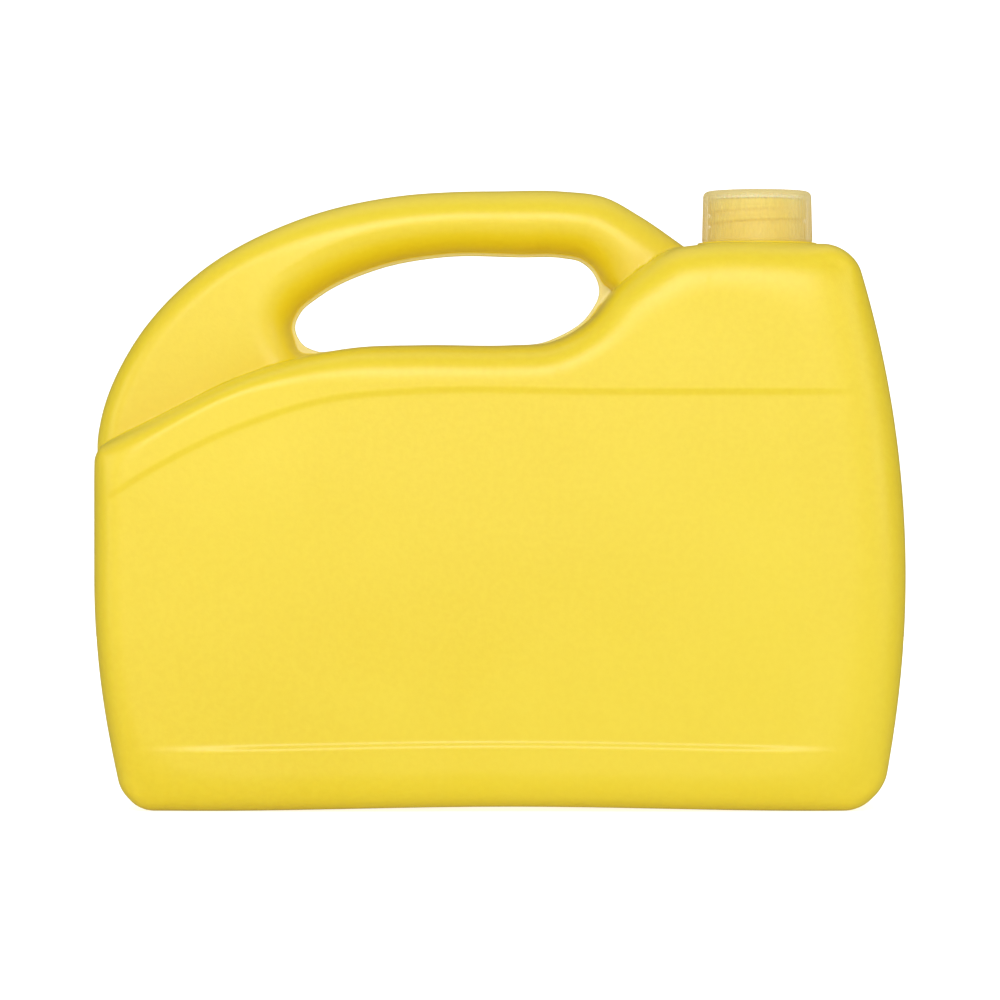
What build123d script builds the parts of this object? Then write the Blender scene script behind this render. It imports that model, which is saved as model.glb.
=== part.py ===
from build123d import *
from math import cos, pi, sin, sqrt
import os

# Five-litre flat jerry can: a blow-moulded can with a moulded-in hollow handle, a screw cap and the foam
# disc that seals it. Millimetres. +X points to the spout end, -Y to the front and +Z up. The origin is on
# the ground at the middle of the base.

# Can, overall
DEPTH = 102.0  # front face to back face
WALL = 1.2  # thickness of the blown wall
EDGE_ROUND = 14.0  # rounding between the outline and the front and back faces
FOOT_ROUND = 16.0  # bottom corners, seen from the front
SHOULDER_Z = 214.8  # flat shoulder that carries the neck
SHOULDER_ROUND = 15.0
RIM_CORNER_ROUND = 24.0  # where the rim meets the left wall and the shoulder
RISE_ROUND = 30.0  # hollow curve where the top begins to rise to the shoulder
TOP_Z = 176.0  # top of the can under the handle

# Side walls: each is one arc, given by the height where the can is widest and the arc's radius
HALF_WIDTH = 155.1
RIGHT_WIDEST_Z, RIGHT_BOW = 88.7, 394.0
LEFT_WIDEST_Z, LEFT_BOW = 98.7, 425.0
RIM_LEFT_Z = 133.0  # height at which the rim of the can leaves the left wall

# Base: two flat feet with a shallow arch between them
ARCH_HALF_SPAN = 112.0
ARCH_RISE = 1.6

# Label panel, sunk into the front and back faces
PANEL_SINK = 1.2
PANEL_TOP_Z = 158.0
PANEL_FOOT_Z = 26.4
PANEL_SIDE = 128.0

# Handle: a flat hollow web with a hand hole through it
HANDLE_DEPTH = 32.0
HANDLE_ROUND = 12.0
HOLE_ROUND = 9.0

# Neck, a 38 mm screw finish
NECK_X = 99.0
COLLAR_RADIUS = 21.2
COLLAR_FLARE = 1.0
COLLAR_TOP_Z = 216.2
NECK_RADIUS = 17.35
BORE_RADIUS = 14.4
LIP_Z = 232.9

# Thread
PITCH = 4.23
NECK_CREST = 18.55
NECK_ROOT_WIDTH, NECK_CREST_WIDTH = 2.4, 1.0
NECK_THREAD_Z, NECK_TURNS = 222.2, 2.0
CAP_BORE = 18.85
CAP_CREST = 17.7
CAP_ROOT_WIDTH, CAP_CREST_WIDTH = 1.9, 0.8
CAP_TURNS = 1.7
FLANK_GAP_SHIFT = 0.5  # the closed cap's ridge sits this far above the middle of the neck's groove
THREAD_BITE = 0.4  # how far a ridge is sunk into the wall that carries it

# Cap
CAP_BOTTOM_Z = 216.4
CAP_TOP_Z = 236.2
CAP_RADIUS, CAP_TOP_RADIUS = 21.2, 20.3
CAP_ROOF = 1.5
CAP_EDGE_ROUND = 2.6
RIB_COUNT = 72
RIB_HEIGHT = 0.3
RIB_CLEAR = 0.2  # the rounded envelope stands this far outside the ribs, so that it trims only the top edge

# Sealing disc
DISC_RADIUS = 18.3
DISC_THICKNESS = 1.7
DISC_CHAMFER = 0.3
DISC_GAP = 0.05  # left above and below the uncompressed foam


def reach(widest_z, bow, z):
    """Distance of a side wall from the middle of the can at height z."""
    return HALF_WIDTH - bow + sqrt(bow**2 - (z - widest_z) ** 2)


def right_wall(z):
    return (reach(RIGHT_WIDEST_Z, RIGHT_BOW, z), z)


def left_wall(z):
    return (-reach(LEFT_WIDEST_Z, LEFT_BOW, z), z)


def grown(lines, growth):
    """The face inside these lines, with its edge moved outwards by growth."""
    face = make_face(lines)
    return offset(face, growth, kind=Kind.INTERSECTION) if growth else face


def rounded(face, corner, radius):
    """The face with the corner nearest to this point rounded."""
    x, y = corner
    vertex = min(face.vertices(), key=lambda v: (v.X - x) ** 2 + (v.Y - y) ** 2)
    return fillet(vertex, radius)


def can_outline(inset):
    """Front outline of the can below and beside the handle, drawn in (x, z) and drawn in by inset."""
    rim_left = left_wall(RIM_LEFT_Z)
    rim_end = (-37.6, TOP_Z)
    rise_foot = (19.5, TOP_Z)
    rise_top = (65.0, SHOULDER_Z)
    shoulder = right_wall(SHOULDER_Z)
    foot_right = right_wall(0)
    foot_left = left_wall(0)
    lines = [
        ThreePointArc(foot_left, left_wall(LEFT_WIDEST_Z), rim_left),
        ThreePointArc(rim_left, (-94.5, 166.1), rim_end),
        Line(rim_end, rise_foot),
        Line(rise_foot, rise_top),
        Line(rise_top, shoulder),
        ThreePointArc(shoulder, right_wall(RIGHT_WIDEST_Z), foot_right),
        Line(foot_right, (ARCH_HALF_SPAN, 0)),
        ThreePointArc((ARCH_HALF_SPAN, 0), (0, ARCH_RISE), (-ARCH_HALF_SPAN, 0)),
        Line((-ARCH_HALF_SPAN, 0), foot_left),
    ]
    face = grown(lines, -inset)
    for corner in (foot_left, foot_right):
        face = rounded(face, corner, FOOT_ROUND - inset)
    face = rounded(face, shoulder, SHOULDER_ROUND - inset)
    face = rounded(face, rim_left, RIM_CORNER_ROUND - inset)
    face = rounded(face, rise_top, RIM_CORNER_ROUND - inset)
    return rounded(face, rise_foot, RISE_ROUND + inset)


def handle_outline(inset):
    """Outer outline of the handle, drawn in by inset; its lower part is buried in the can."""
    buried_left = (-153.0, 108.0)
    buried_right = (74, 150)
    buried_middle = (-120, 95)
    sweep_end = (-114.8, 205.8)
    buried_run = 29  # length of the straight run from the knuckle into the shoulder
    outer = ThreePointArc(buried_left, (-144.7, 171.2), sweep_end)
    crown_left = TangentArc(sweep_end, (-49.9, 232.8), tangent=outer % 1)
    crown = TangentArc(crown_left @ 1, (0, 236.5), tangent=crown_left % 1)
    crown_right = TangentArc(crown @ 1, (26, 236.3), tangent=crown % 1)
    knuckle = TangentArc(crown_right @ 1, (50, 229), tangent=crown_right % 1)
    shoulder_end = knuckle @ 1 + buried_run * (knuckle % 1)
    lines = [
        outer,
        crown_left,
        crown,
        crown_right,
        knuckle,
        Polyline(knuckle @ 1, shoulder_end, buried_right, buried_middle, buried_left),
    ]
    return grown(lines, -inset)


def hand_hole(inset):
    """The hand hole, widened by inset. Its lower edge runs just under the top of the can, which closes it."""
    corners = [(-79, 172.5), (-79, 191), (38.5, 211), (38.5, 191), (21, 172.5)]
    arc_end = (-12, 211.6)
    lines = [
        ThreePointArc(corners[1], (-50, 205.4), arc_end),
        Polyline(arc_end, *corners[2:], corners[0], corners[1]),
    ]
    face = grown(lines, inset)
    for corner in corners:
        face = rounded(face, corner, HOLE_ROUND + inset)
    return face


def panel_outline(inset):
    """The sunk label panel, widened by inset; its top edge follows the rim on the handle side."""
    top_left = (-PANEL_SIDE, 129.0)
    slope_end = (-42.0, PANEL_TOP_Z - 0.5)
    flat_start = (-10.0, PANEL_TOP_Z)
    lines = [
        ThreePointArc(top_left, (-85.5, 148.2), slope_end),
        Polyline(
            slope_end,
            flat_start,
            (PANEL_SIDE, PANEL_TOP_Z),
            (PANEL_SIDE, PANEL_FOOT_Z),
            (-PANEL_SIDE, PANEL_FOOT_Z),
            top_left,
        ),
    ]
    return grown(lines, inset)


def plate(outline, half_depth, edge_round):
    """Stands an (x, z) outline up as a plate centred on the parting plane, with both rims rounded."""
    solid = extrude(Plane.XZ.offset(-half_depth) * outline, 2 * half_depth)
    rims = [e for e in solid.edges() if abs(abs(e.center().Y) - half_depth) < 0.001]
    return fillet(rims, edge_round)


def can_volume(inset):
    """The can's closed shape without its neck, drawn in by inset all round."""
    half_depth = DEPTH / 2 - inset
    floor_depth = DEPTH / 2 - PANEL_SINK - inset
    body = plate(can_outline(inset), half_depth, EDGE_ROUND - inset)
    sunk = extrude(Plane.XZ.offset(floor_depth) * panel_outline(inset), DEPTH)
    body = body - sunk - mirror(sunk, about=Plane.XZ)
    web = handle_outline(inset) - hand_hole(inset)
    return body + plate(web, HANDLE_DEPTH / 2 - inset, HANDLE_ROUND - inset)


def thread(root, crest, root_width, crest_width, start_z, turns):
    """A right-handed trapezoid ridge round the neck axis, from its root radius to its crest radius."""
    helix = Helix(pitch=PITCH, height=turns * PITCH, radius=root)
    bite = THREAD_BITE if root > crest else -THREAD_BITE
    section = Polygon(
        (bite, -root_width / 2),
        (0, -root_width / 2),
        (crest - root, -crest_width / 2),
        (crest - root, crest_width / 2),
        (0, root_width / 2),
        (bite, root_width / 2),
        align=None,
    )
    section_plane = Plane(origin=helix @ 0, x_dir=(1, 0, 0), z_dir=helix % 0)
    return Pos(NECK_X, 0, start_z) * sweep(section_plane * section, path=helix, is_frenet=True)


def on_neck(z):
    return Pos(NECK_X, 0, z)


def upright(radius, bottom, top):
    """A cylinder on the neck axis between two heights."""
    height = top - bottom
    return on_neck(bottom) * Cylinder(radius, height, align=(Align.CENTER, Align.CENTER, Align.MIN))


def can_body():
    buried_z = SHOULDER_Z - 3
    shell = can_volume(0)
    collar_height = COLLAR_TOP_Z - SHOULDER_Z
    collar = Cone(
        COLLAR_RADIUS + COLLAR_FLARE, COLLAR_RADIUS, collar_height, align=(Align.CENTER, Align.CENTER, Align.MIN)
    )
    shell += on_neck(SHOULDER_Z) * collar
    shell += upright(NECK_RADIUS, buried_z, LIP_Z)
    shell += thread(NECK_RADIUS, NECK_CREST, NECK_ROOT_WIDTH, NECK_CREST_WIDTH, NECK_THREAD_Z, NECK_TURNS)
    shell -= can_volume(WALL)
    return shell - upright(BORE_RADIUS, buried_z - 3, LIP_Z + 1)


def ribbed_section(radius):
    points = []
    for i in range(2 * RIB_COUNT):
        r = radius if i % 2 else radius - RIB_HEIGHT
        angle = pi * i / RIB_COUNT
        points.append((r * cos(angle), r * sin(angle)))
    return Polygon(*points, align=None)


def screw_cap():
    height = CAP_TOP_Z - CAP_BOTTOM_Z
    ribbed = loft([ribbed_section(CAP_RADIUS), Pos(0, 0, height) * ribbed_section(CAP_TOP_RADIUS)], ruled=True)
    envelope = Cone(
        CAP_RADIUS + RIB_CLEAR, CAP_TOP_RADIUS + RIB_CLEAR, height, align=(Align.CENTER, Align.CENTER, Align.MIN)
    )
    envelope = fillet(envelope.edges().sort_by(Axis.Z)[-1], CAP_EDGE_ROUND)
    cap = on_neck(CAP_BOTTOM_Z) * (ribbed & envelope)
    cap -= upright(CAP_BORE, CAP_BOTTOM_Z - 1, CAP_TOP_Z - CAP_ROOF)
    ridge_z = NECK_THREAD_Z - PITCH / 2 + FLANK_GAP_SHIFT
    return cap + thread(CAP_BORE, CAP_CREST, CAP_ROOT_WIDTH, CAP_CREST_WIDTH, ridge_z, CAP_TURNS)


def sealing_disc():
    bottom = LIP_Z + DISC_GAP
    disc = upright(DISC_RADIUS, bottom, bottom + DISC_THICKNESS)
    return chamfer(disc.edges(), DISC_CHAMFER)


os.makedirs("parts", exist_ok=True)
for name, build in (("can_body", can_body), ("screw_cap", screw_cap), ("sealing_disc", sealing_disc)):
    export_step(build(), f"parts/{name}.step")
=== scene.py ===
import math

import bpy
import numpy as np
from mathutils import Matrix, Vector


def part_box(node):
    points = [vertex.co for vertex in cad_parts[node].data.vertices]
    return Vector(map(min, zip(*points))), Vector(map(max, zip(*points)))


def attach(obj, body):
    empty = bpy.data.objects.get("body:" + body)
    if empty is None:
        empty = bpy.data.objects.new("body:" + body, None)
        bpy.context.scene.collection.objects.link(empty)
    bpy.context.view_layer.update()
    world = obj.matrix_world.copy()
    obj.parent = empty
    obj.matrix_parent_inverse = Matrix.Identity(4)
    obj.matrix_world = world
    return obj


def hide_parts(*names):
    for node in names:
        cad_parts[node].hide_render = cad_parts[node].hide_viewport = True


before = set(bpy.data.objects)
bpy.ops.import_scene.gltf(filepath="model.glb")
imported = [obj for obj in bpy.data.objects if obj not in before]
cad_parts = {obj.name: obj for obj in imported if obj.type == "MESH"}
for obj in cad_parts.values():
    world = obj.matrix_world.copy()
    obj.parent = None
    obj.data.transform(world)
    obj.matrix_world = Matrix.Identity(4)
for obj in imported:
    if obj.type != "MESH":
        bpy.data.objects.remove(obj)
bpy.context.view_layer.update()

# A flat blow-moulded jerry can in yellow polyethylene with a milky screw cap.
# Lengths in this script are millimetres in the frame's axes: +X to the spout, -Y to the front, +Z up.
# add_mesh() turns them into metres.

MM = 0.001


def node_box(name):
    """Lowest and highest corner of a CAD node, in millimetres."""
    low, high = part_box(name)
    return np.array(low) / MM, np.array(high) / MM


CAN_LOW, CAN_HIGH = node_box("can_body")
CAP_LOW, CAP_HIGH = node_box("screw_cap")
DISC_LOW, DISC_HIGH = node_box("sealing_disc")

# Overall shape
HALF_DEPTH = CAN_HIGH[1]
PARTING_RIDGE = 0.16
HALF_WIDTH = CAN_HIGH[0] - PARTING_RIDGE - 0.05
NECK_X = (CAP_LOW[0] + CAP_HIGH[0]) / 2
LIP_Z = DISC_LOW[2] - 0.05
CROWN_Z = CAN_HIGH[2]  # top of the handle
SHOULDER_Z = 215.4
TOP_Z = 177.0  # top of the can under the handle
CREASE_Z = 158.2  # top of the label panel
WALL = 1.2


# ---------------------------------------------------------------- plane curves, in (x, z)


def smooth_curve(points, spacing=1.5):
    """A smooth curve through the points: cubic between them, with each tangent set by its neighbours."""
    p = np.array(points, float)
    chord = np.hypot(*np.diff(p, axis=0).T)
    secant = np.diff(p, axis=0) / chord[:, None]
    inner = (secant[:-1] * chord[1:, None] + secant[1:] * chord[:-1, None]) / (chord[:-1] + chord[1:])[:, None]
    tangent = np.vstack([secant[0], inner, secant[-1]])
    curve = []
    for i, length in enumerate(chord):
        t = np.linspace(0, 1, max(2, int(length / spacing)), endpoint=False)[:, None]
        start = (1 + 2 * t) * (1 - t) ** 2 * p[i] + t * (1 - t) ** 2 * length * tangent[i]
        end = t * t * (3 - 2 * t) * p[i + 1] + t * t * (t - 1) * length * tangent[i + 1]
        curve.append(start + end)
    return np.vstack(curve + [p[-1:]])


def segments(path, closed):
    ends = np.roll(path, -1, 0) if closed else path[1:]
    starts = path if closed else path[:-1]
    return starts, ends


def distance_to(path, x, z, closed=False):
    """Unsigned distance of each (x, z) to a polyline."""
    best = np.full(x.shape, np.inf)
    for a, b in zip(*segments(path, closed)):
        ab = b - a
        t = ((x - a[0]) * ab[0] + (z - a[1]) * ab[1]) / (ab @ ab)
        t = np.clip(t, 0, 1)
        best = np.minimum(best, (x - a[0] - t * ab[0]) ** 2 + (z - a[1] - t * ab[1]) ** 2)
    return np.sqrt(best)


def depth_inside(path, x, z):
    """Distance to a closed polyline, positive inside it."""
    odd = np.zeros(x.shape, bool)
    for a, b in zip(*segments(path, True)):
        if a[1] == b[1]:
            continue
        spans = (z > min(a[1], b[1])) & (z <= max(a[1], b[1]))
        odd ^= spans & (x < a[0] + (z - a[1]) * (b[0] - a[0]) / (b[1] - a[1]))
    away = distance_to(path, x, z, closed=True)
    return np.where(odd, away, -away)


def smoothstep(low, high, value):
    t = np.clip((value - low) / (high - low), 0, 1)
    return t * t * (3 - 2 * t)


def blur(field, sigma, spacing):
    """Gaussian blur of a plane field, with its edges held."""
    reach = int(3 * sigma / spacing)
    kernel = np.exp(-0.5 * (np.arange(-reach, reach + 1) * spacing / sigma) ** 2)
    kernel /= kernel.sum()
    for axis in (0, 1):
        width = [(reach, reach) if a == axis else (0, 0) for a in (0, 1)]
        padded = np.pad(field, width, mode="edge")
        field = sum(
            w * np.take(padded, np.arange(k, k + field.shape[axis]), axis) for k, w in enumerate(kernel)
        )
    return field


def corner_min(a, b, radius):
    """The smaller of two depths. Their corner is an arc at the outline and a wider curve further inside."""
    arc = np.maximum(radius, np.minimum(a, b)) - np.hypot(np.maximum(radius - a, 0), np.maximum(radius - b, 0))
    size = 1.55 * radius
    wide = (np.maximum(a + size, 0.5) ** -4 + np.maximum(b + size, 0.5) ** -4) ** -0.25 - size
    return arc + (wide - arc) * smoothstep(0, 10, arc)


# ---------------------------------------------------------------- outlines of the can


def rim_line():
    """Top edge of the full-depth body, from the left wall under the handle up to the shoulder."""
    slope = [(-185, 112), (-156, 136.5), (-132, 149), (-94, 167), (-56, 176), (-30, TOP_Z)]
    climb = [(5, TOP_Z), (19, TOP_Z + 1), (33.5, 186), (43, 197.5), (54.5, 207), (65, 213.5)]
    shoulder = [(76, SHOULDER_Z), (118, SHOULDER_Z + 0.3), (190, SHOULDER_Z + 0.8)]
    return smooth_curve(slope + climb + shoulder)


def crease_line():
    """Upper edge of the label panel."""
    slope = [(-185, 86), (-161, 108.5), (-142, 122), (-99, 144.5), (-60, 156)]
    return smooth_curve(slope + [(-35, CREASE_Z), (40, CREASE_Z), (190, CREASE_Z)])


def handle_outline():
    """Outer outline of the handle web, closed inside the can."""
    heel = [(-153.5, 108), (-154.8, 133), (-154.8, 140.5), (-153.5, 148.5)]
    back = [(-140, 179), (-115, 205.5), (-77, 225.5), (-38, 234.5)]
    crown = [(-18, CROWN_Z - 0.6), (0, CROWN_Z - 0.3), (24, CROWN_Z - 0.4)]
    knuckle = [(40, 234), (54, 226.5), (70, 215.5), (82, 207)]
    return np.vstack([smooth_curve(heel + back + crown + knuckle), [(80, 130), (-120, 90)]])


def hole_outline():
    """Edge of the hand hole, which is the crest of the fin round it."""
    left_end = [(-40, 174.4), (-60, 174.3), (-70, 174.5), (-76, 177.3), (-79, 184), (-76.5, 190), (-70, 195.5)]
    ceiling = [(-48, 206), (-22, 211), (8, 211), (24, 210.7), (31, 209.2)]
    right_end = [(36.5, 204), (38.3, 198), (34, 188.5), (19, 178.8), (0, 175)]
    return smooth_curve(left_end + ceiling + right_end, 0.8)


# Pairs below are (handle side, spout side) or (above, below) the widest place.
RIGHT_WIDEST_Z = 88.7
RIGHT_BOW_RADII = (405.0, 390.0)
LEFT_WIDEST_Z = (88, 122)  # the left wall is straight between these heights
LEFT_BOW_RADII = (425.0, 318.0)
BASE_CORNER_RADII = (11.3, 14.5)
TOP_CORNER_RADII = (5.0, 11.8)
ARCH_RISE = 1.6  # under the middle of the base
ARCH_CENTRE_X = 4
ARCH_HALF_SPAN = 118
SIDE_LEAN = 1.3  # how much narrower the outline is towards the front and back than at the parting line
LEAN_DEPTH = 44.0
EDGE_WIDTH = 9  # over which the rounding of one edge gives way to the next
FACE_CROWN = 0.9
FOOT_LINE_Z = 25.8  # lower edge of the label panel
WEB_HALF_DEPTH = 15.9
FIN_REACH = 1.5  # how far the pinched fin stands into the hand hole
FIN_HALF_THICKNESS = 0.75
# (centre, more reach, size) where the fin is wider, at two corners of the hole
FIN_PATCHES = (((42.0, 196.5), 4.5, 3.5), ((-76.0, 176.0), 2.2, 3.0))


class Plane:
    """The plane fields that shape the can, on a fine (x, z) grid."""

    SPACING = 0.5
    LOW = np.array([-172.0, -14.0])
    HIGH = np.array([172.0, 252.0])

    def __init__(self):
        count = np.round((self.HIGH - self.LOW) / self.SPACING).astype(int) + 1
        axes = [low + self.SPACING * np.arange(n) for low, n in zip(self.LOW, count)]
        self.fields = np.stack(self.shape(*np.meshgrid(*axes, indexing="ij")))

    def shape(self, x, z):
        sides, floor, top = self.walls(x, z)
        body = self.front_outline(x, sides, floor, top)
        reach, back, lean = self.edges(x, z, sides, floor, top)
        half_depth = self.faces(x, z, sides, body)
        web_depth, web_round, web_half, fin_depth, soft = self.handle(x, z)
        return body, reach, back, half_depth, web_depth, web_round, web_half, fin_depth, soft, lean

    def walls(self, x, z):
        """Depth inside the side walls, above the arched base and below the rim."""
        right = self.bow(x - HALF_WIDTH, z - RIGHT_WIDEST_Z, np.where(z > RIGHT_WIDEST_Z, *RIGHT_BOW_RADII))
        left = self.bow(-x - HALF_WIDTH, z - np.clip(z, *LEFT_WIDEST_Z), np.where(z > 100, *LEFT_BOW_RADII))
        floor = z - ARCH_RISE * (1 - smoothstep(0, ARCH_HALF_SPAN, np.abs(x - ARCH_CENTRE_X)))
        rim = rim_line()
        top = distance_to(rim, x, z) * np.sign(np.interp(x, rim[:, 0], rim[:, 1]) - z)
        return np.minimum(left, right), floor, top

    def front_outline(self, x, sides, floor, top):
        """Depth inside the front outline, with its corners rounded and its inner lines softened."""
        base = corner_min(sides, floor, np.where(x < 0, *BASE_CORNER_RADII))
        body = corner_min(base, top, np.where(x < 0, *TOP_CORNER_RADII))
        return body + smoothstep(3, 18, body) * (blur(body, 5.0, self.SPACING) - body)

    def edges(self, x, z, sides, floor, top):
        """How far the rounding of the edges reaches inwards and back, and how much the edge leans."""
        nearness = [np.exp(-np.clip(d, 0, 60) / EDGE_WIDTH) for d in (sides, top, floor)]
        share = sum(nearness)
        side_reach = 14.0 + 13.0 * smoothstep(-60, 60, x)
        top_reach = 7.0 + 7.0 * smoothstep(-115, -35, x) + 5.0 * smoothstep(30, 70, x)
        reach = (side_reach * nearness[0] + top_reach * nearness[1] + 15.0 * nearness[2]) / share
        back = (22.0 * nearness[0] + 19.0 * nearness[1] + 14.0 * nearness[2]) / share
        lean = SIDE_LEAN * (nearness[0] + nearness[1]) / share * smoothstep(0, 5, z)
        return reach, back, lean

    def faces(self, x, z, sides, body):
        """Half depth of the can: crowned faces with the sunk label panel."""
        crease = crease_line()
        below_crease = distance_to(crease, x, z) * np.sign(np.interp(x, crease[:, 0], crease[:, 1]) - z)
        outwards = np.abs(x)
        foot_step = smoothstep(-1.3, 1.3, z - FOOT_LINE_Z + 1.9 * smoothstep(0, 140, outwards))
        foot_step += (1 - foot_step) * smoothstep(85, 140, outwards)
        fade = smoothstep(0, 16 + 26 * smoothstep(-60, 60, x), sides)
        sunk = smoothstep(-1.5, 1.5, below_crease) * foot_step * fade * (1.0 - 0.4 * smoothstep(40, 140, z))
        crown = FACE_CROWN * (1 - smoothstep(0, 90, body))
        return HALF_DEPTH - 0.05 - crown - sunk

    def handle(self, x, z):
        """The handle web, the hand hole with its fin, and how softly the web runs into the can."""
        web = depth_inside(handle_outline(), x, z)
        hole = -depth_inside(hole_outline(), x, z)
        fin_reach = np.full(x.shape, FIN_REACH)
        for (px, pz), more, size in FIN_PATCHES:
            fin_reach += more * np.exp(-((x - px) ** 2 + (z - pz) ** 2) / size**2)
        web_depth = np.minimum(web, hole - fin_reach)
        by_hole = smoothstep(-6, 6, web - web_depth)
        outer_round = 4.5 + 10.5 * smoothstep(-110, -25, x)
        web_round = outer_round + (16.0 - outer_round) * by_hole
        web_depth += smoothstep(4, 11, web_depth) * (blur(web_depth, 2.5, self.SPACING) - web_depth)
        beyond = (hole - 15 + np.hypot(hole - 15, 3)) / 2
        web_half = WEB_HALF_DEPTH - 2.4 * (1 - np.exp(-beyond / 24))
        soft = 0.2 + 0.6 * smoothstep(2, 16, web)
        return web_depth, web_round, web_half, np.minimum(web - 3, hole), soft

    @staticmethod
    def bow(x, z, radius):
        """Depth inside a side wall that is an arc of this radius, given from its furthest point."""
        return radius - np.hypot(x + radius, z)

    def sample(self, x, z):
        """Every field at the given points."""
        u = (np.asarray(x) - self.LOW[0]) / self.SPACING
        v = (np.asarray(z) - self.LOW[1]) / self.SPACING
        i = np.clip(u.astype(int), 0, self.fields.shape[1] - 2)
        j = np.clip(v.astype(int), 0, self.fields.shape[2] - 2)
        s, t = u - i, v - j
        f = self.fields
        low = f[:, i, j] * (1 - s) + f[:, i + 1, j] * s
        high = f[:, i, j + 1] * (1 - s) + f[:, i + 1, j + 1] * s
        return low * (1 - t) + high * t


plane = Plane()

PARTING_WIDTH = 0.5
FULLNESS = 2.5  # 2 gives elliptical edges; more makes them run into the faces without a line


def soft_min(a, b, blend):
    overlap = np.maximum(blend - np.abs(a - b), 0) / blend
    return np.minimum(a, b) - overlap**2 * blend / 4


def can_field(fields, x, y, z):
    """Signed distance, near enough, to the can's outer skin without its neck: negative inside."""
    body, reach, back, half_depth, web_depth, web_round, web_half, fin_depth, soft, lean = fields
    away = np.abs(y)
    body = body - lean * smoothstep(0, LEAN_DEPTH, away)
    across = np.maximum(1 - body / reach, 0)
    along = np.maximum(1 - (half_depth - away) / back, 0)
    can = ((across**FULLNESS + along**FULLNESS) ** (1 / FULLNESS) - 1) * reach
    rounding = np.maximum(1 - web_depth / web_round, 0) ** (FULLNESS / 2)
    web = (np.hypot(rounding, away / web_half) - 1) * web_round
    skin = soft_min(can, web, soft)
    fin = np.maximum(-fin_depth, away - FIN_HALF_THICKNESS)
    skin = soft_min(skin, fin, 1.0)
    skin = skin - PARTING_RIDGE * np.exp(-((y / PARTING_WIDTH) ** 2))
    return push_up(skin, x, away, z)


def push_up(skin, x, away, z):
    """Raises the middle of the base, which leaves a standing rim, and draws the pinched seam across it."""
    inset = np.minimum(118 - np.abs(x), 33 - away)
    floor = 2.6 * smoothstep(0, 14, inset)
    floor = floor - 0.8 * np.exp(-((away / 0.9) ** 2)) * smoothstep(2, 12, inset)
    return np.maximum(skin, floor - z)


def field_at(points):
    x, y, z = points.T
    return can_field(plane.sample(x, z), x, y, z)


def gradient_at(points, step=0.4):
    steps = step * np.eye(3)
    return np.stack([(field_at(points + s) - field_at(points - s)) / (2 * step) for s in steps], 1)


def settle(points, level, rounds=4):
    """Moves points along the field's gradient on to the surface where the field equals level."""
    for _ in range(rounds):
        g = gradient_at(points)
        shift = (field_at(points) - level) / np.maximum((g * g).sum(1), 0.05)
        points = points - np.clip(shift, -0.8, 0.8)[:, None] * g
    return points


# ---------------------------------------------------------------- meshing


def spaced(stops):
    """Grid lines from (position, spacing from here on) stops; the last stop is the end."""
    lines = []
    for (a, step), (b, _) in zip(stops, stops[1:]):
        count = max(1, round((b - a) / step))
        lines.append(np.linspace(a, b, count, endpoint=False))
    return np.append(np.concatenate(lines), stops[-1][0])


def drop(x):
    """How far the crease and the rim lie below their level stretch, on the handle side."""
    crease = crease_line()
    return np.minimum(np.interp(x, crease[:, 0], crease[:, 1]) - CREASE_Z, 0)


def grid_heights(x, levels):
    """Grid heights that follow the crease and the rim where they slope down."""
    return levels[None, :] + drop(x)[:, None] * smoothstep(30, 150, levels)[None, :]


def surface_net(values, x, y, z):
    """Quads round the zero surface of values[i, j, k], given at (x[i], y[j], z[i, k]); inside is negative."""
    inside = values < 0
    shape = np.array(values.shape) - 1
    stride = np.array([shape[1] * shape[2], shape[2], 1])
    cell_count = int(np.prod(shape))
    total = np.zeros((3, cell_count))
    hits = np.zeros(cell_count)
    quads = []
    for axis in range(3):
        head = [slice(None)] * 3
        tail = [slice(None)] * 3
        head[axis], tail[axis] = slice(0, -1), slice(1, None)
        a = np.argwhere(inside[tuple(head)] != inside[tuple(tail)])
        b = a.copy()
        b[:, axis] += 1
        va, vb = values[tuple(a.T)], values[tuple(b.T)]
        t = (va / (va - vb))[:, None]
        pa, pb = (np.stack([x[n[:, 0]], y[n[:, 1]], z[n[:, 0], n[:, 2]]], 1) for n in (a, b))
        point = pa + t * (pb - pa)
        second, third = stride[(axis + 1) % 3], stride[(axis + 2) % 3]
        corners = [a @ stride - m * second - n * third for m, n in ((1, 1), (0, 1), (0, 0), (1, 0))]
        for cell in corners:
            hits += np.bincount(cell, minlength=cell_count)
            for n in range(3):
                total[n] += np.bincount(cell, weights=point[:, n], minlength=cell_count)
        quad = np.stack(corners, 1)
        quads.append(np.where((va < 0)[:, None], quad, quad[:, ::-1]))
    used = np.flatnonzero(hits)
    points = (total[:, used] / hits[used]).T
    index = np.full(cell_count, -1)
    index[used] = np.arange(len(used))
    return points, index[np.concatenate(quads)]


def can_surface(x, y_half, levels, level):
    """The closed surface where the can's field equals level."""
    z = grid_heights(x, levels)
    fields = [f[:, None, :] for f in plane.sample(np.repeat(x[:, None], len(levels), 1), z)]
    half = can_field(fields, x[:, None, None], y_half[None, :, None], z[:, None, :]) - level
    values = np.concatenate([half[:, ::-1], half], 1)
    y = np.concatenate([-y_half[::-1], y_half])
    points, quads = surface_net(values, x, y, z)
    return settle(points, level), quads


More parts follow.
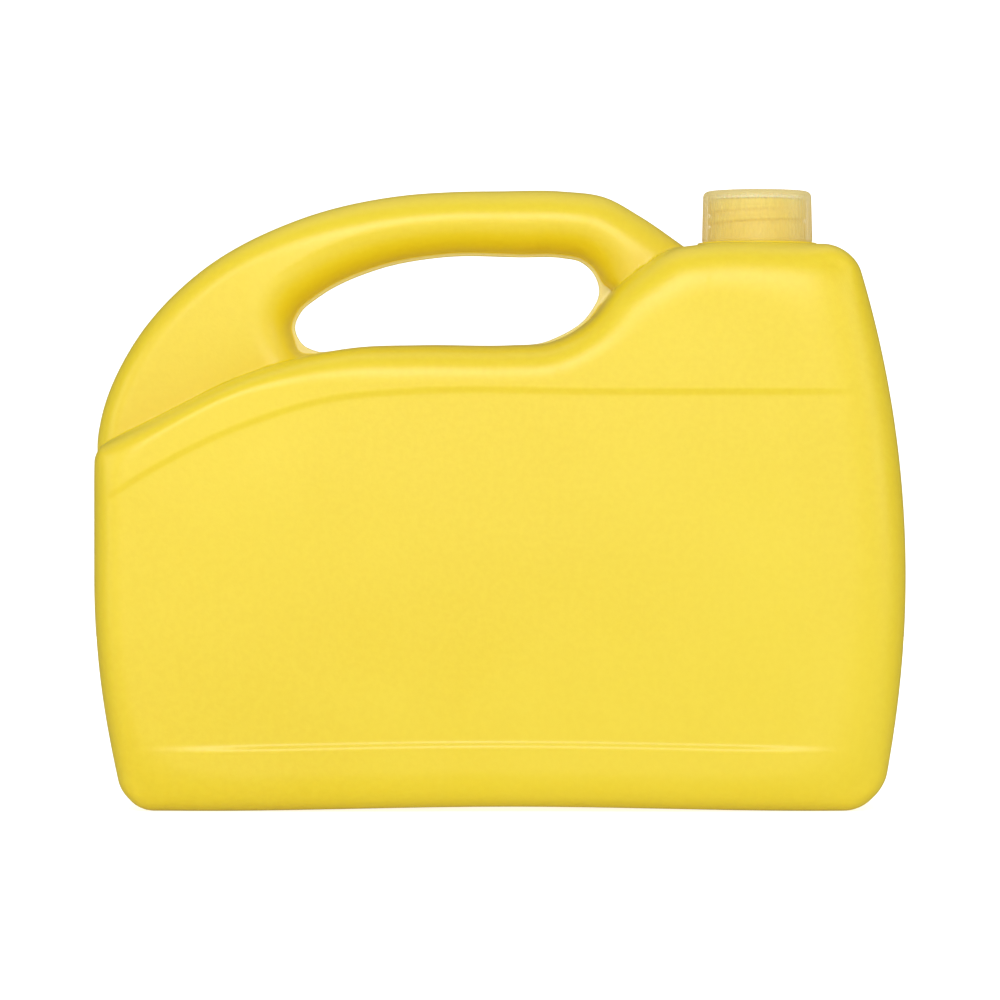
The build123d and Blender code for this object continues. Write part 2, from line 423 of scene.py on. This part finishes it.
def opened(points, quads, radius):
    """The surface with a round opening about the neck axis, and the rim of the opening in turning order."""
    away = np.hypot(points[:, 0] - NECK_X, points[:, 1])
    gone = (away < radius) & (points[:, 2] > TOP_Z + 20)
    quads = quads[~gone[quads].any(1)]
    used, quads = np.unique(quads, return_inverse=True)
    points, quads = points[used], quads.reshape(-1, 4)
    edges = np.sort(np.concatenate([quads[:, [i, (i + 1) % 4]] for i in range(4)]), 1)
    edges, count = np.unique(edges, axis=0, return_counts=True)
    rim = np.unique(edges[count == 1])
    return points, quads, rim[np.argsort(turn_of(points[rim], NECK_X))]


def turn_of(points, centre_x):
    return np.arctan2(points[:, 1], points[:, 0] - centre_x) % (2 * math.pi)


class Build:
    """Collects points and faces for one mesh whose rings turn about a vertical axis at centre_x."""

    def __init__(self, centre_x):
        self.centre_x = centre_x
        self.points = np.zeros((0, 3))
        self.faces = []

    def add(self, points, faces=()):
        start = len(self.points)
        self.points = np.vstack([self.points, points])
        self.faces += (np.asarray(faces, int).reshape(-1, 4) + start).tolist()
        return start + np.arange(len(points))

    def bridge(self, lower, upper):
        """Faces between two rings of point numbers, each in turning order."""
        if len(lower) == len(upper):
            self.faces += np.stack([lower, np.roll(lower, -1), np.roll(upper, -1), upper], 1).tolist()
            return
        angles = [turn_of(self.points[ring], self.centre_x) for ring in (lower, upper)]
        angles = [np.append(a, a[0] + 2 * math.pi) for a in angles]
        i = j = 0
        while i < len(lower) or j < len(upper):
            a, b = lower[i % len(lower)], upper[j % len(upper)]
            if j == len(upper) or (i < len(lower) and angles[0][i + 1] <= angles[1][j + 1]):
                i += 1
                self.faces.append((a, lower[i % len(lower)], b))
            else:
                j += 1
                self.faces.append((a, upper[j % len(upper)], b))

    def rings(self, rings, before=None):
        """Adds rings of points, each joined to the one before it. Returns the last one's numbers."""
        for ring in rings:
            numbers = self.add(ring)
            if before is not None:
                self.bridge(before, numbers)
            before = numbers
        return before

    def cap_end(self, ring, points_up):
        """Closes a ring with a fan of triangles."""
        centre = self.add(self.points[ring].mean(0)[None])[0]
        following = np.roll(ring, -1)
        for a, b in zip(ring, following):
            self.faces.append((a, b, centre) if points_up else (b, a, centre))


def circle(centre_x, radius, z, count):
    """A ring of points; radius and z are numbers or one value for each point."""
    turn = angles_of(count)
    x = centre_x + radius * np.cos(turn)
    y = radius * np.sin(turn)
    return np.stack([x, y, np.broadcast_to(z, count)], 1)


def angles_of(count):
    return 2 * math.pi * np.arange(count) / count


def fillet(start, end, steps, hollow=False):
    """(radius, z) points round a quarter ellipse; it leaves start along z, or along the radius if hollow."""
    turn = np.linspace(0, math.pi / 2, steps)
    (r0, z0), (r1, z1) = start, end
    along, across = np.sin(turn), 1 - np.cos(turn)
    if hollow:
        along, across = across, along
    return np.stack([r0 + (r1 - r0) * across, z0 + (z1 - z0) * along], 1)


def add_mesh(name, build, normals=None, **attributes):
    """Makes the object, in metres, from a Build."""
    mesh = bpy.data.meshes.new(name)
    mesh.from_pydata((build.points * MM).tolist(), [], build.faces)
    for attribute, values in attributes.items():
        mesh.attributes.new(attribute, "FLOAT", "POINT").data.foreach_set("value", values)
    mesh.polygons.foreach_set("use_smooth", [True] * len(mesh.polygons))
    mesh.update()
    if normals is not None:
        mesh.normals_split_custom_set_from_vertices(normals.tolist())
    piece = bpy.data.objects.new(name, mesh)
    bpy.context.scene.collection.objects.link(piece)
    return piece


# ---------------------------------------------------------------- screw thread


PITCH = 4.23
NECK_THREAD = {"height": 1.2, "root": 2.4, "crest": 1.0, "start": LIP_Z - 10.7, "turns": 2.0}
CAP_THREAD = {"height": 1.15, "root": 1.9, "crest": 0.8, "start": LIP_Z - 12.315, "turns": 1.7}
THREAD_TAPER = 0.09  # turns over which each end of a thread fades out


def ridge(thread, turn, z):
    """Height of a right-handed thread's ridge at each angle of a ring at height z."""
    height = np.zeros_like(turn)
    for lap in range(3):
        along = turn / (2 * math.pi) + lap
        away = np.abs(z - thread["start"] - PITCH * along)
        flank = (thread["root"] - thread["crest"]) / 2
        section = np.clip((thread["root"] / 2 - away) / flank, 0, 1)
        taper = smoothstep(0, THREAD_TAPER, along) * smoothstep(0, THREAD_TAPER, thread["turns"] - along)
        height = np.maximum(height, thread["height"] * section * taper)
    return height


# ---------------------------------------------------------------- the can


COLLAR_RADIUS = 22.9
COLLAR_Z = LIP_Z - 16.6
FLARE_RADIUS = 27.0
NECK_RADIUS = 17.35
BORE_RADIUS = 14.4
NECK_COLUMNS = 144
ROW = 0.3  # spacing of the rings that carry a thread


def top_height(x, y, level):
    """Height of the shoulder where the can's field equals level."""
    z = np.full(x.shape, SHOULDER_Z + level)
    step = 0.25
    for _ in range(6):
        here = field_at(np.stack([x, y, z], 1)) - level
        above = field_at(np.stack([x, y, z + step], 1)) - level
        z = z - np.clip(here / np.maximum((above - here) / step, 0.3), -1, 1)
    return z


def neck_rings():
    """Rings from the shoulder over the collar, up the thread, over the lip and down the bore."""
    turn = angles_of(NECK_COLUMNS)
    rings = []
    for radius, rise in fillet((FLARE_RADIUS, 0), (COLLAR_RADIUS, 1), 10, hollow=True):
        foot = top_height(NECK_X + radius * np.cos(turn), radius * np.sin(turn), 0)
        rings.append(circle(NECK_X, radius, foot + (COLLAR_Z - 0.35 - foot) * rise, NECK_COLUMNS))
    profile = [
        fillet((COLLAR_RADIUS, COLLAR_Z - 0.3), (COLLAR_RADIUS - 0.3, COLLAR_Z), 5),
        [(20.0, COLLAR_Z), (18.9, COLLAR_Z)],
        fillet((18.1, COLLAR_Z), (NECK_RADIUS, COLLAR_Z + 0.75), 6, hollow=True),
    ]
    top = LIP_Z - 0.6
    for z in np.arange(COLLAR_Z + 1.0, top, ROW):
        profile.append([(NECK_RADIUS, z)])
    profile += [
        fillet((NECK_RADIUS, top), (NECK_RADIUS - 0.6, LIP_Z), 6),
        [(16.1, LIP_Z), (15.5, LIP_Z)],
        fillet((BORE_RADIUS + 0.5, LIP_Z), (BORE_RADIUS, LIP_Z - 0.5), 6, hollow=True),
        [(BORE_RADIUS, z) for z in np.linspace(LIP_Z - 2, SHOULDER_Z + 1.5, 9)],
    ]
    for radius, z in np.vstack(profile):
        thread = ridge(NECK_THREAD, turn, z) if radius == NECK_RADIUS else 0
        rings.append(circle(NECK_X, radius + thread, z, NECK_COLUMNS))
    for radius, sink in fillet((BORE_RADIUS, 0), (17.0, 1), 7):
        ceiling = top_height(NECK_X + radius * np.cos(turn), radius * np.sin(turn), -WALL)
        start = SHOULDER_Z + 0.8
        rings.append(circle(NECK_X, radius, start + (ceiling - start) * sink, NECK_COLUMNS))
    return rings


def build_can():
    """One closed skin: the outside, the neck and the inside of the blown wall."""
    across = spaced([(-160, 1.3), (-84, 0.8), (-66, 1.3), (24, 0.8), (48, 1.3), (160, 1)])
    deep = spaced([(0.2, 0.4), (1.8, 0.7), (4.6, 1.2), (18, 1.6), (46, 0.9), (53.5, 1)])
    foot = [(-4, 1.1), (17, 0.9), (21, 0.55), (28.6, 1.3), (34, 2.0)]
    top = [(150, 1.0), (154, 0.6), (162, 1.0), (242, 1)]
    skin, skin_quads = can_surface(across, deep, spaced(foot + top), 0)
    coarse = [spaced(stops) for stops in ([(-160, 3.2), (160, 1)], [(1.5, 3), (55, 1)], [(-4, 3), (242, 1)])]
    inner = can_surface(*coarse, -WALL)

    skin, skin_quads, skin_rim = opened(skin, skin_quads, FLARE_RADIUS + 1)
    inner, inner_quads, inner_rim = opened(*inner, 19.0)
    build = Build(NECK_X)
    build.add(skin, skin_quads)
    last = build.rings(neck_rings(), before=skin_rim)
    first = len(build.points)
    build.add(inner, inner_quads[:, ::-1])
    build.bridge(last, inner_rim + first)

    normals = np.zeros_like(build.points)
    slope = gradient_at(skin)
    normals[: len(skin)] = slope / np.linalg.norm(slope, axis=1)[:, None]
    fields = plane.sample(skin[:, 0], skin[:, 2])
    web_depth, fin_depth = fields[4], fields[7]
    on_fin = smoothstep(0.1, -0.9, web_depth) * smoothstep(-1.5, -0.5, fin_depth)
    pinched = np.zeros(len(build.points))
    pinched[: len(skin)] = on_fin * smoothstep(2.2, 0.9, np.abs(skin[:, 1]))
    return add_mesh("blown_can", build, normals, pinched=pinched)


# ---------------------------------------------------------------- the cap


CAP_Z, CAP_TOP = CAP_LOW[2], CAP_HIGH[2]
CAP_RADIUS = (CAP_HIGH[0] - CAP_LOW[0]) / 2 + 0.1
CAP_TAPER = 0.5  # how much narrower the top is
CAP_EDGE = 2.1
CAP_BORE = 18.85
CAP_ROOF = 1.5
RIBS = 72
RIB_DEPTH = 0.13
CAP_COLUMNS = RIBS * 6


def build_cap():
    """A closed cap: a ribbed skirt with a thread inside, and a slightly domed top with a gate mark."""
    build = Build(NECK_X)
    inside = [(r, CAP_TOP - CAP_ROOF) for r in (1.5, 5, 9, 13, 16, 17.8)]
    inside += fillet((18.25, CAP_TOP - CAP_ROOF), (CAP_BORE, CAP_TOP - CAP_ROOF - 0.6), 5, hollow=True).tolist()
    inside += [(CAP_BORE, z) for z in np.arange(CAP_TOP - CAP_ROOF - 0.9, CAP_Z + 0.9, -ROW)]
    inside += fillet((CAP_BORE, CAP_Z + 0.5), (CAP_BORE + 0.5, CAP_Z), 5).tolist()
    turn = angles_of(NECK_COLUMNS)
    rings = []
    for radius, z in inside:
        thread = ridge(CAP_THREAD, turn, z) if radius == CAP_BORE else 0
        rings.append(circle(NECK_X, radius - thread, z, NECK_COLUMNS))

    skirt = fillet((CAP_RADIUS - 0.75, CAP_Z), (CAP_RADIUS - 0.3, CAP_Z + 0.45), 5, hollow=True).tolist()
    heights = spaced([(CAP_Z + 0.7, 0.25), (CAP_Z + 1.9, 1.6), (CAP_TOP - CAP_EDGE, 1)])
    skirt += [(CAP_RADIUS, z) for z in heights]
    for radius, z in skirt:
        rings.append(circle(NECK_X, skirt_radius(radius, z), z, CAP_COLUMNS))
    shoulder = CAP_TOP - CAP_EDGE
    edge_radius = CAP_RADIUS - CAP_TAPER
    for radius, z in fillet((edge_radius, shoulder), (edge_radius - CAP_EDGE, CAP_TOP), 12)[1:]:
        fade = (z - shoulder) / CAP_EDGE
        rings.append(circle(NECK_X, radius - rib_cut(z) * (1 - fade), z, CAP_COLUMNS))
    last = build.rings(rings)
    top = []
    for radius, z in ((17.3, 0.05), (14.5, 0.12), (11, 0.17), (7, 0.2), (3.4, 0.22)):
        top.append(circle(NECK_X, radius, CAP_TOP + z, 144 if radius > 12 else 48))
    for radius, z in ((2.6, 0.2), (2.3, 0.02), (1.9, -0.12), (0.9, -0.12), (0.6, 0.02), (0.3, 0.1)):
        top.append(circle(NECK_X, radius, CAP_TOP + z, 24))
    last = build.rings(top, before=last)
    build.cap_end(last, points_up=True)
    build.cap_end(np.arange(NECK_COLUMNS), points_up=False)
    return add_mesh("ribbed_screw_cap", build)


def rib_cut(z):
    """Depth of the grooves between the ribs round a ring at height z."""
    wave = 0.5 - 0.5 * np.cos(RIBS * angles_of(CAP_COLUMNS))
    return RIB_DEPTH * wave**0.8 * smoothstep(0.7, 1.9, z - CAP_Z)


def skirt_radius(radius, z):
    share = np.clip((z - CAP_Z) / (CAP_TOP - CAP_Z), 0, 1)
    return radius - CAP_TAPER * share - rib_cut(z)


# ---------------------------------------------------------------- the sealing disc


def build_disc():
    """A foam disc with soft edges and the shallow ring that the lip has pressed into its underside."""
    low, high = DISC_LOW[2], DISC_HIGH[2]
    radius = (DISC_HIGH[0] - DISC_LOW[0]) / 2
    press = 0.14
    below = [(1.5, low), (6, low), (10, low), (13.4, low), (13.9, low + 0.04), (14.3, low + press)]
    below += [(15.9, low + press), (17.4, low + press), (17.7, low + 0.04)]
    profile = below + fillet((radius - 0.35, low), (radius, low + 0.35), 5, hollow=True).tolist()
    profile += [(radius, (low + high) / 2)]
    profile += fillet((radius, high - 0.35), (radius - 0.35, high), 5).tolist()
    profile += [(r, high) for r in (16, 12, 8, 4, 1.5)]
    build = Build(NECK_X)
    last = build.rings([circle(NECK_X, r, z, 120) for r, z in profile])
    build.cap_end(last, points_up=True)
    build.cap_end(np.arange(120), points_up=False)
    return add_mesh("foam_disc", build)


# ---------------------------------------------------------------- materials


class Shader:
    """A material's node tree, with a short way to add a node and link its inputs."""

    def __init__(self, name):
        self.material = bpy.data.materials.new(name)
        self.material.use_nodes = True
        self.tree = self.material.node_tree
        self.tree.nodes.clear()
        self.place = self.add("ShaderNodeTexCoord").outputs["Object"]

    def add(self, kind, inputs=None, **settings):
        node = self.tree.nodes.new(kind)
        for name, value in settings.items():
            setattr(node, name, value)
        for name, value in (inputs or {}).items():
            if isinstance(value, bpy.types.NodeSocket):
                self.tree.links.new(value, node.inputs[name])
            else:
                node.inputs[name].default_value = value
        return node

    def noise(self, scale, detail=2.0, stretch=(1, 1, 1), roughness=0.5):
        """Noise with about `scale` bumps to the metre."""
        place = self.add("ShaderNodeMapping", {"Vector": self.place, "Scale": stretch}).outputs[0]
        inputs = {"Vector": place, "Scale": scale, "Detail": detail, "Roughness": roughness}
        return self.add("ShaderNodeTexNoise", inputs).outputs["Fac"]

    def spread(self, value, low, high, to_low, to_high):
        """Maps low..high to to_low..to_high, smoothly."""
        inputs = {"Value": value, "From Min": low, "From Max": high, "To Min": to_low, "To Max": to_high}
        return self.add("ShaderNodeMapRange", inputs, interpolation_type="SMOOTHSTEP").outputs[0]

    def math(self, operation, a, b):
        return self.add("ShaderNodeMath", {0: a, 1: b}, operation=operation).outputs[0]

    def mix(self, share, a, b):
        """Value a where share is 0, value b where it is 1."""
        return self.add("ShaderNodeMix", {0: share, 2: a, 3: b}, data_type="FLOAT").outputs[0]

    def blend(self, share, a, b):
        """Colour a where share is 0, colour b where it is 1."""
        return self.add("ShaderNodeMix", {0: share, 6: a, 7: b}, data_type="RGBA").outputs[2]

    def bump(self, height, distance, strength=1.0, normal=None):
        inputs = {"Height": height, "Distance": distance, "Strength": strength}
        if normal is not None:
            inputs["Normal"] = normal
        return self.add("ShaderNodeBump", inputs).outputs[0]

    def finish(self, shader):
        self.add("ShaderNodeOutputMaterial", {"Surface": shader})
        return self.material


def can_plastic():
    """Glossy-satin yellow polyethylene with the fine grain of a blown wall."""
    s = Shader("yellow_polyethylene")
    drift = s.noise(9, 2)
    mottle = s.noise(420, 3)
    colour = s.blend(s.spread(drift, 0.35, 0.65, 0, 1), (0.87, 0.645, 0.008, 1), (0.89, 0.675, 0.012, 1))
    colour = s.blend(s.spread(mottle, 0.3, 0.7, 0, 0.35), colour, (0.93, 0.72, 0.02, 1))
    pinched = s.add("ShaderNodeAttribute", attribute_name="pinched").outputs["Fac"]
    colour = s.blend(s.math("MULTIPLY", pinched, 0.75), colour, (0.88, 0.8, 0.33, 1))
    grain = s.noise(760, 3, roughness=0.6)
    fine = s.noise(2600, 2)
    sway = s.noise(22, 1)
    scuff = s.noise(160, 5, stretch=(1, 1, 0.12), roughness=0.7)
    rough = s.math("ADD", s.spread(sway, 0.3, 0.7, 0.33, 0.39), s.spread(scuff, 0.56, 0.74, 0, 0.12))
    normal = s.bump(sway, 0.0012, 0.35)
    normal = s.bump(grain, 0.00009, 0.5, normal)
    normal = s.bump(fine, 0.00004, 0.4, normal)
    inputs = {
        "Base Color": colour,
        "Roughness": rough,
        "IOR": 1.5,
        "Specular IOR Level": 0.8,
        "Normal": normal,
        "Subsurface Weight": 0.12,
        "Subsurface Radius": (1.0, 0.7, 0.1),
        "Subsurface Scale": 0.003,
    }
    return s.finish(s.add("ShaderNodeBsdfPrincipled", inputs).outputs[0])


def cap_plastic():
    """Natural polypropylene: milky, so the neck's colour and thread show through it."""
    s = Shader("natural_polypropylene")
    cloud = s.noise(70, 3)
    grain = s.noise(1500, 3)
    flow = s.noise(300, 4, stretch=(1, 1, 0.15))
    facing = s.add("ShaderNodeLayerWeight", {"Blend": 0.35}).outputs["Facing"]
    height = s.add("ShaderNodeSeparateXYZ", {"Vector": s.place}).outputs["Z"]
    roof = s.spread(height, (CAP_TOP - 3.2) * MM, (CAP_TOP - 1.0) * MM, 0, 1)
    thick = s.math("MAXIMUM", s.spread(facing, 0.1, 0.62, 0, 1), roof)

    colour = s.blend(s.spread(cloud, 0.3, 0.7, 0, 1), (0.95, 0.86, 0.44, 1), (0.97, 0.9, 0.52, 1))
    colour = s.blend(thick, colour, (0.86, 0.72, 0.31, 1))
    colour = s.blend(roof, colour, (0.84, 0.7, 0.28, 1))
    rough = s.spread(flow, 0.3, 0.7, 0.43, 0.46)
    normal = s.bump(grain, 0.00006, 0.5)
    body = {"Base Color": colour, "Roughness": rough, "IOR": 1.49, "Normal": normal}
    solid = s.add("ShaderNodeBsdfPrincipled", body).outputs[0]
    glowing = s.add("ShaderNodeBsdfTranslucent", {"Color": colour, "Normal": normal}).outputs[0]
    veil = s.add("ShaderNodeMixShader", {0: 0.4, 1: solid, 2: glowing}).outputs[0]
    blurred = s.add("ShaderNodeBsdfPrincipled", {**body, "Transmission Weight": 1.0}).outputs[0]
    straight = s.add("ShaderNodeBsdfTransparent", {"Color": (0.99, 0.98, 0.93, 1)}).outputs[0]

    # light passes into the cap more freely than sight does, because a milky wall scatters it onwards
    path = s.add("ShaderNodeLightPath").outputs
    lit = s.math("MAXIMUM", path["Is Shadow Ray"], path["Is Diffuse Ray"])
    clear = s.add("ShaderNodeMixShader", {0: s.mix(lit, 0.75, 1.0), 1: blurred, 2: straight}).outputs[0]
    share = s.mix(lit, s.mix(thick, 0.32, 0.74), 0.04)
    return s.finish(s.add("ShaderNodeMixShader", {0: share, 1: clear, 2: veil}).outputs[0])


def foam():
    """Closed-cell white foam."""
    s = Shader("white_foam")
    cells = s.add("ShaderNodeTexVoronoi", {"Vector": s.place, "Scale": 1700.0}).outputs["Distance"]
    soft = s.noise(120, 3)
    colour = s.blend(s.spread(soft, 0.3, 0.7, 0, 1), (0.82, 0.82, 0.8, 1), (0.9, 0.9, 0.88, 1))
    normal = s.bump(cells, 0.00015, 0.8)
    inputs = {"Base Color": colour, "Roughness": 0.85, "Normal": normal, "Subsurface Weight": 0.3}
    return s.finish(s.add("ShaderNodeBsdfPrincipled", {**inputs, "Subsurface Scale": 0.001}).outputs[0])


# ---------------------------------------------------------------- stage, light and camera


def build_stage():
    """A pale floor that curves up all round into a backdrop.

    It glows as painted light. Diffuse rays see a faint glow, which lights the can from below. Reflected rays
    see a bright glow in front of the can, a painted reflection. It is darker behind the can for reflected rays,
    so that edges seen at a glance keep their colour.
    """
    build = Build(0)
    metre = 1 / MM
    profile = [(r * metre, -0.02) for r in (0.05, 0.3, 0.8, 1.6, 2.6)]
    profile += [(r, z) for r, z in fillet((2.8 * metre, 0), (4.4 * metre, 1.6 * metre), 14, hollow=True)]
    profile += [(4.4 * metre, 3.0 * metre)]
    rings = [circle(0, r, z, 96) for r, z in profile]
    build.rings(rings[::-1])
    build.cap_end(np.arange(96) + 96 * (len(profile) - 1), points_up=True)
    stage = add_mesh("floor", build)
    s = Shader("pale_floor")
    path = s.add("ShaderNodeLightPath").outputs
    place = s.add("ShaderNodeSeparateXYZ", {"Vector": s.place}).outputs
    fine = s.spread(s.noise(5, 2), 0.3, 0.7, 0.98, 1.02)
    colour = s.blend(path["Is Camera Ray"], (0.7, 0.7, 0.7, 1), (0.95, 0.95, 0.95, 1))
    colour = s.blend(path["Is Glossy Ray"], colour, (0.1, 0.1, 0.1, 1))
    # painted reflection and painted light: reflected rays see the floor glow bright in front of the can and
    # almost dark behind it, other rays see a faint glow that lights the can from below
    mirrored = s.spread(place["Y"], -2.0, 0.3, 1.1, 0.04)
    glow = s.mix(path["Is Camera Ray"], 0.3, s.math("MULTIPLY", fine, s.spread(place["Z"], 0, 1.2, 0.72, 1.0)))
    glow = s.mix(path["Is Glossy Ray"], glow, mirrored)
    light = s.add("ShaderNodeEmission", {"Strength": glow}).outputs[0]
    matt = s.add("ShaderNodeBsdfDiffuse", {"Color": colour}).outputs[0]
    stage.data.materials.append(s.finish(s.add("ShaderNodeAddShader", {0: light, 1: matt}).outputs[0]))


def aim(piece, target):
    piece.rotation_euler = (Vector(target) - piece.location).to_track_quat("-Z", "Y").to_euler()


def add_softbox(name, place, size, watts, mirrored=True, target=(0, 0, 0.12)):
    light = bpy.data.lights.new(name, "AREA")
    light.shape = "RECTANGLE"
    light.size, light.size_y = size
    light.energy = watts
    piece = bpy.data.objects.new(name, light)
    bpy.context.scene.collection.objects.link(piece)
    piece.location = place
    piece.visible_camera = False
    piece.visible_glossy = mirrored
    aim(piece, target)


def light_scene():
    add_softbox("key", (0.0, -1.85, 1.1), (1.6, 0.9), 14)
    add_softbox("front_fill", (-0.2, -2.7, 0.35), (1.8, 1.1), 3)
    add_softbox("left_fill", (-1.9, -0.9, 0.5), (0.8, 1.2), 2)
    add_softbox("right_fill", (1.9, -0.9, 0.5), (0.8, 1.2), 1.5)
    add_softbox("top", (0, 0.5, 2.3), (2.2, 1.4), 4)
    add_softbox("back", (0, 2.4, 0.5), (1.8, 1.1), 7, mirrored=False)
    world = bpy.data.worlds.new("studio")
    world.use_nodes = True
    world.node_tree.nodes["Background"].inputs["Color"].default_value = (1, 1, 1, 1)
    world.node_tree.nodes["Background"].inputs["Strength"].default_value = 0.46
    scene = bpy.context.scene
    scene.world = world
    scene.view_settings.view_transform = "Standard"


CAMERA_DISTANCE = 2.0
CAMERA_HEIGHT = 0.1175
VIEW_WIDTH = 0.385  # width of the picture, at the can's middle


def add_camera():
    camera = bpy.data.cameras.new("camera")
    camera.lens = camera.sensor_width * CAMERA_DISTANCE / VIEW_WIDTH
    piece = bpy.data.objects.new("camera", camera)
    bpy.context.scene.collection.objects.link(piece)
    piece.location = (0, -CAMERA_DISTANCE, CAMERA_HEIGHT)
    piece.rotation_euler = (math.radians(90), 0, 0)
    bpy.context.scene.camera = piece


def add_piece(piece, node, body, material):
    piece.data.materials.append(material)
    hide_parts(node)
    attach(piece, body)


add_piece(build_can(), "can_body", "can", can_plastic())
add_piece(build_cap(), "screw_cap", "cap", cap_plastic())
add_piece(build_disc(), "sealing_disc", "seal", foam())
build_stage()
light_scene()
add_camera()
